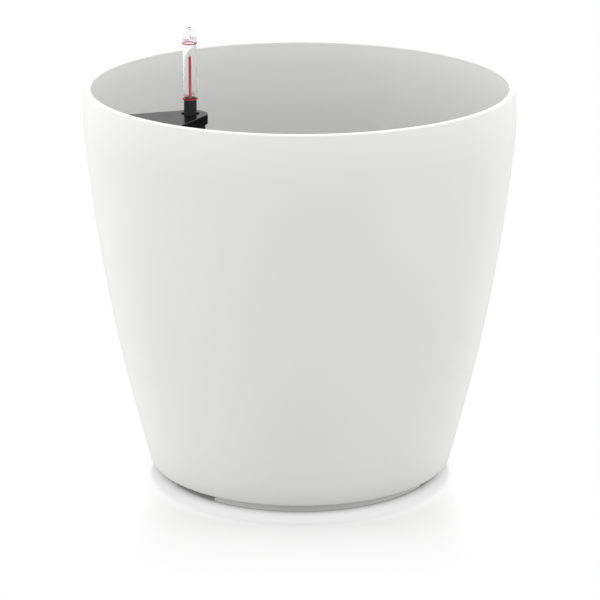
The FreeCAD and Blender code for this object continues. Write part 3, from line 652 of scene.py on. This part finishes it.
# %% Numbers
DIGIT_HEIGHT = 2.5 * MM
DIGIT_GAP = 1.4 * MM
DIGIT_SPREAD = 1.25
DIGIT_SHARE = 0.7           # a digit's height as a share of its font's size
INK_THICK = 0.1 * MM
LONG_EDGE = 0.4 * MM        # a longer edge is cut up so that it can bend round the tube
NEAR_SIDE = math.radians(-123)
for node, number in (("low_mark_ring", "20"), ("full_mark_ring", "100")):
    foot_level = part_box(node)[1].z + DIGIT_GAP
    flat = bpy.data.curves.new(number, "FONT")
    flat.body = number
    flat.size = DIGIT_HEIGHT / DIGIT_SHARE
    flat.align_x = "CENTER"
    flat.space_character = DIGIT_SPREAD
    flat.extrude = INK_THICK / 2
    text = bpy.data.objects.new(number, flat)
    printed = bmesh.new()
    for side in (NEAR_SIDE, NEAR_SIDE + math.pi):
        copy = bmesh.new()
        copy.from_mesh(bpy.data.meshes.new_from_object(text))
        long_edges = [edge for edge in copy.edges if edge.calc_length() > LONG_EDGE]
        bmesh.ops.subdivide_edges(copy, edges=long_edges, cuts=3)
        for corner in copy.verts:
            run, rise, depth = corner.co
            level = foot_level + rise
            reach = sight_outside(level) + PRINT_GAP + INK_THICK / 2 + depth
            turn = side + run / sight_outside(level)
            corner.co = (GAUGE_X + reach * math.cos(turn), GAUGE_Y + reach * math.sin(turn), level)
        rolled = bpy.data.meshes.new("rolled")
        copy.to_mesh(rolled)
        copy.free()
        printed.from_mesh(rolled)
        bpy.data.meshes.remove(rolled)
    bpy.data.objects.remove(text)
    finish_piece("number_" + number, printed, "gauge", [], [red_ink])

# %% [markdown]
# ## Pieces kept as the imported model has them
#
# The cap, the shaft, the separator and the rest are already the right shape. Making them
# again could only bring mistakes, so each is welded, shaded smooth with crisp edges and
# given the finish of its slot.

# %% Welded copies
FINISHES = {
    "separator": [anthracite],
    "shaft": [black_grained],
    # the cap's skirt takes the matt black: a matt finish, with a darker colour that is painted shade
    "cap": [black_polished, black_matt],
    "gauge_tube": [black_matt, black_tube],
    "bush": [black_acetal],
    "float_cage": [black_grained],
    "float": [white_foam],
    "clips": [spring_steel],
    "rod": [white_rod],
    "tip": [red_rod],
    "plug": [anthracite],
    "seal": [black_rubber],
}
for node, slot in SLOT_OF.items():
    if slot in FINISHES:
        welded_copy(node, node + "_smooth", FINISHES[slot])

# %% [markdown]
# ## Floor
#
# The planter stands on a light table, a sheet of white acrylic lit from below, so the
# floor is plain white with no cast shadow. White paper under lamps would show one. The
# acrylic is polished round the planter and mirrors it there; the polish fades out towards
# a hand's width from the foot. Under the pot the glow is cut out and the sheet is a dark
# grey, a painted shadow, and round the foot the glow is dimmed into a painted shadow that
# fades over about 30 mm. The polish follows a squarish distance, the fourth root of a sum
# of fourth powers, so that its patch is a rounded square; the rest follows plain distance.

# %% Light table
# painted shadow: the glow is cut out under the pot inside these radii, and dimmed round the foot
PAINTED_DARK_EDGE = 112 * MM, 117 * MM
CONTACT_SHADOW_FROM, CONTACT_SHADOW_TO = 116 * MM, 146 * MM
CONTACT_SHADOW_DEPTH, CONTACT_SHADOW_FALL = 0.8, 5.5      # depth of the painted shadow at the foot, and how fast it fades outwards
POLISH_FROM, POLISH_TO = 118 * MM, 275 * MM
POLISH_SLOPE, POLISH_FALL, POLISH_MOST = 0.60, 2.0, 0.42
POLISH_BY_FOOT = 0.22
POLISH_ROUGHNESS = 0.12
FOOT_ZONE = 138 * MM, 152 * MM
TABLE_GLOW = 1.0

table_with_painted_shadow = bpy.data.materials.new("polished_white_acrylic_painted_shadow")
table_with_painted_shadow.use_nodes = True
tree = table_with_painted_shadow.node_tree
tree.nodes.clear()
place = add_node(tree, "ShaderNodeTexCoord")
squared = add_node(tree, "ShaderNodeVectorMath", {"operation": "MULTIPLY"},
                   {0: place.outputs["Object"], 1: place.outputs["Object"]})
fourth = add_node(tree, "ShaderNodeVectorMath", {"operation": "DOT_PRODUCT"},
                  {0: squared.outputs[0], 1: squared.outputs[0]})
square_distance = add_node(tree, "ShaderNodeMath", {"operation": "POWER", 1: 1 / 4},
                           {0: fourth.outputs["Value"]})
distance = add_node(tree, "ShaderNodeVectorMath", {"operation": "LENGTH"}, {0: place.outputs["Object"]})


def ramp_over(reach, span, low, high):
    """Value that goes from low to high while this distance goes over a span."""
    return add_node(tree, "ShaderNodeMapRange",
                    {"From Min": span[0], "From Max": span[1], "To Min": low, "To Max": high},
                    {"Value": reach}).outputs["Result"]


print("polish reaches to", POLISH_TO, "metres from the axis")

# %% Polish of the sheet
fade = ramp_over(square_distance.outputs[0], (POLISH_FROM, POLISH_TO), 1.0, 0.0)
soft_fade = add_node(tree, "ShaderNodeMath", {"operation": "POWER", 1: POLISH_FALL}, {0: fade})
share = add_node(tree, "ShaderNodeMath", {"operation": "MULTIPLY", 1: POLISH_SLOPE},
                 {0: soft_fade.outputs[0]})
most = ramp_over(distance.outputs["Value"], FOOT_ZONE, POLISH_BY_FOOT, POLISH_MOST)
polish = add_node(tree, "ShaderNodeMath", {"operation": "MINIMUM"}, {0: share.outputs[0], 1: most})
print("mirror share:", POLISH_BY_FOOT, "by the foot and at most", POLISH_MOST, "beyond")

# %% Light of the sheet, with its painted shadow
# painted shadow round the foot: the glow is dimmed near it and comes back over about 30 mm
contact = ramp_over(distance.outputs["Value"], (CONTACT_SHADOW_FROM, CONTACT_SHADOW_TO), 1.0, 0.0)
painted_contact_shadow = add_node(tree, "ShaderNodeMath", {"operation": "POWER", 1: CONTACT_SHADOW_FALL}, {0: contact})
glow_with_painted_shadow = add_node(tree, "ShaderNodeMath",
                       {"operation": "MULTIPLY_ADD", 1: -CONTACT_SHADOW_DEPTH, 2: TABLE_GLOW},
                       {0: painted_contact_shadow.outputs[0]})
glow = add_node(tree, "ShaderNodeEmission", {"Color": (1, 1, 1, 1)}, {"Strength": glow_with_painted_shadow.outputs[0]})
gloss = add_node(tree, "ShaderNodeBsdfGlossy", {"Color": (1, 1, 1, 1), "Roughness": POLISH_ROUGHNESS})
mirror = add_node(tree, "ShaderNodeMixShader",
                  links={0: polish.outputs[0], 1: glow.outputs[0], 2: gloss.outputs[0]})
# painted shadow under the pot: a grey sheet where the glow is cut out
painted_dark_under_pot = add_node(tree, "ShaderNodeBsdfDiffuse", {"Color": linear("C8C8C8")})
lit = ramp_over(distance.outputs["Value"], PAINTED_DARK_EDGE, 0.0, 1.0)
sheet = add_node(tree, "ShaderNodeMixShader", links={0: lit, 1: painted_dark_under_pot.outputs[0], 2: mirror.outputs[0]})
add_node(tree, "ShaderNodeOutputMaterial", links={"Surface": sheet.outputs[0]})
print("light table nodes:", len(tree.nodes))

# %% Lay the floor
FLOOR_HALF_WIDTH = 12


def stage_piece(name, mesh, material, hidden_from):
    """Turn a bmesh into a piece of the stage, hidden from some kinds of light ray."""
    data = bpy.data.meshes.new(name)
    mesh.to_mesh(data)
    mesh.free()
    data.materials.append(material)
    piece = bpy.data.objects.new(name, data)
    for ray in hidden_from:
        setattr(piece, "visible_" + ray, False)
    bpy.context.scene.collection.objects.link(piece)
    print(name, "is", round(piece.dimensions.x, 2), "metres across")


floor_mesh = bmesh.new()
bmesh.ops.create_grid(floor_mesh, x_segments=1, y_segments=1, size=FLOOR_HALF_WIDTH)
stage_piece("floor", floor_mesh, table_with_painted_shadow, ("diffuse", "glossy"))

# %% [markdown]
# A dim disc just under the sheet stands for the table's mask. The camera does not see it;
# it keeps light from below off the foot ring and the pot's underside.

# %% Mask under the pot
SHADE_RADIUS = 145 * MM
SHADE_DROP = 0.5 * MM
SHADE_GLOW = 0.15
SHADE_STEPS = 96
shade_paper = bpy.data.materials.new("grey_shade_paper")
shade_paper.use_nodes = True
tree = shade_paper.node_tree
tree.nodes.clear()
dim = add_node(tree, "ShaderNodeEmission", {"Color": (1, 1, 1, 1), "Strength": SHADE_GLOW})
add_node(tree, "ShaderNodeOutputMaterial", links={"Surface": dim.outputs[0]})
shade_mesh = bmesh.new()
bmesh.ops.create_circle(shade_mesh, cap_ends=True, segments=SHADE_STEPS, radius=SHADE_RADIUS)
bmesh.ops.translate(shade_mesh, verts=shade_mesh.verts, vec=(0, 0, -SHADE_DROP))
stage_piece("shade", shade_mesh, shade_paper, ("camera", "glossy", "transmission"))

# %% [markdown]
# ## Light
#
# A white tent surrounds the table. It is dimmer in front, which leaves the middle of the
# pot a soft grey between its bright sides, and brightest overhead, which lights the
# inside. Lamps would leave hard bright shapes in the gloss. The tent is the world instead:
# each of its six sides adds a broad soft lobe of light, strongest straight from that side.

# %% Light tent
TENT_RIGHT, TENT_BACK, TENT_TOP = 0.80, 0.72, 1.1
TENT_LEFT, TENT_FRONT, TENT_BELOW = 0.92, 0.41, 0.0
LOBES = (1, (TENT_RIGHT, TENT_BACK, TENT_TOP)), (-1, (TENT_LEFT, TENT_FRONT, TENT_BELOW))

tent = bpy.data.worlds.new("light_tent")
tent.use_nodes = True
tree = tent.node_tree
heading = add_node(tree, "ShaderNodeTexCoord")
halves = []
for sign, strengths in LOBES:
    signed = add_node(tree, "ShaderNodeVectorMath", {"operation": "SCALE", "Scale": sign},
                      {0: heading.outputs["Generated"]})
    facing = add_node(tree, "ShaderNodeVectorMath", {"operation": "MAXIMUM"}, {0: signed.outputs[0]})
    half = add_node(tree, "ShaderNodeVectorMath", {"operation": "DOT_PRODUCT", 1: strengths},
                    {0: facing.outputs[0]})
    halves.append(half.outputs["Value"])
total = add_node(tree, "ShaderNodeMath", {"operation": "ADD"}, {0: halves[0], 1: halves[1]})
background = tree.nodes["Background"]
background.inputs["Color"].default_value = (1, 1, 1, 1)
tree.links.new(total.outputs[0], background.inputs["Strength"])
bpy.context.scene.world = tent
bpy.context.scene.view_settings.view_transform = "Standard"
print("tent nodes:", len(tree.nodes))
